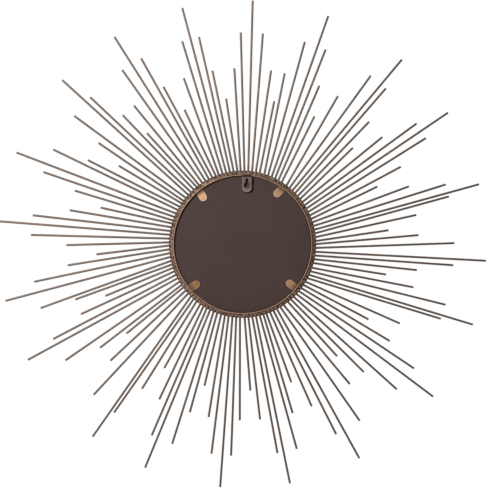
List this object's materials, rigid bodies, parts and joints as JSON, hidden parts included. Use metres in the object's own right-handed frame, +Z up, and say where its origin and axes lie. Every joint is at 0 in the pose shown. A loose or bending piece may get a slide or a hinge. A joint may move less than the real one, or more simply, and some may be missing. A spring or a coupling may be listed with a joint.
{
  "type": "sunburst wall mirror",
  "caption": "Round wall mirror in a deep metal hoop with a sunburst of straight welded rods of stepped lengths, bend-over tabs behind and a keyhole hanger.",
  "frame": {"origin": "centre of the round opening of the keyhole hanger, on the face that lies against the wall", "axes": "+Z up, +Y towards the wall, the mirror faces -Y"},
  "size_m": [0.9115, 0.0172, 0.9122],
  "materials": {
    "rod_metal": "antique bronze lacquer on steel rod, satin",
    "hoop_metal": "antique bronze lacquer rubbed through to tan on the edges, satin",
    "weld_metal": "lacquered weld beads with dark crevices",
    "tab_brass": "brassy gold, lightly brushed",
    "hanger_metal": "antique bronze lacquer, satin",
    "backing_board": "dark brown hardboard, smooth matt face",
    "mirror_glass": "clear float glass with a ground edge",
    "silvering": "silver coating behind the glass",
    "foam": "thin foam sheet"
  },
  "bodies": {
    "frame": {"hoop": "hoop_metal", "front_bezel": "hoop_metal", "rod_ring": "hoop_metal", "rod_weld": "weld_metal", "hanger_weld": "weld_metal", "keyhole_hanger": "hanger_metal", "mirror_glass": "mirror_glass", "silvering": "silvering", "foam_pad": "foam", "backing_board": "backing_board", "tab_leg_upper_left": "tab_brass", "tab_leg_upper_right": "tab_brass", "tab_leg_lower_left": "tab_brass", "tab_leg_lower_right": "tab_brass", "long_rod_01": "rod_metal", "long_rod_02": "rod_metal", "long_rod_03": "rod_metal", "long_rod_04": "rod_metal", "long_rod_05": "rod_metal", "long_rod_06": "rod_metal", "long_rod_07": "rod_metal", "long_rod_08": "rod_metal", "long_rod_09": "rod_metal", "long_rod_10": "rod_metal", "long_rod_11": "rod_metal", "long_rod_12": "rod_metal", "long_rod_13": "rod_metal", "long_rod_14": "rod_metal", "long_rod_15": "rod_metal", "long_rod_16": "rod_metal", "long_rod_17": "rod_metal", "long_rod_18": "rod_metal", "long_rod_19": "rod_metal", "long_rod_20": "rod_metal", "side_rods_01": "rod_metal", "side_rods_02": "rod_metal", "side_rods_03": "rod_metal", "side_rods_04": "rod_metal", "side_rods_05": "rod_metal", "side_rods_06": "rod_metal", "side_rods_07": "rod_metal", "side_rods_08": "rod_metal", "side_rods_09": "rod_metal", "side_rods_10": "rod_metal", "side_rods_11": "rod_metal", "side_rods_12": "rod_metal", "side_rods_13": "rod_metal", "side_rods_14": "rod_metal", "side_rods_15": "rod_metal", "side_rods_16": "rod_metal", "side_rods_17": "rod_metal", "side_rods_18": "rod_metal", "side_rods_19": "rod_metal", "side_rods_20": "rod_metal"},
    "tab_upper_left": {"tab_flap_upper_left": "tab_brass"},
    "tab_upper_right": {"tab_flap_upper_right": "tab_brass"},
    "tab_lower_left": {"tab_flap_lower_left": "tab_brass"},
    "tab_lower_right": {"tab_flap_lower_right": "tab_brass"}
  },
  "joints": [
    {"name": "tab_upper_left_bend", "type": "hinge", "parent": "frame", "child": "tab_upper_left", "pos_m": [0.08883, -0.0068, -0.01149], "axis": [0.7749, 0, -0.632], "range_deg": [0, 90]},
    {"name": "tab_upper_right_bend", "type": "hinge", "parent": "frame", "child": "tab_upper_right", "pos_m": [-0.06591, -0.0068, -0.00622], "axis": [0.8161, 0, 0.5779], "range_deg": [0, 90]},
    {"name": "tab_lower_left_bend", "type": "hinge", "parent": "frame", "child": "tab_lower_left", "pos_m": [0.10598, -0.0068, -0.19281], "axis": [-0.6428, 0, -0.766], "range_deg": [0, 90]},
    {"name": "tab_lower_right_bend", "type": "hinge", "parent": "frame", "child": "tab_lower_right", "pos_m": [-0.09026, -0.0068, -0.19247], "axis": [-0.6401, 0, 0.7683], "range_deg": [0, 90]}
  ]
}
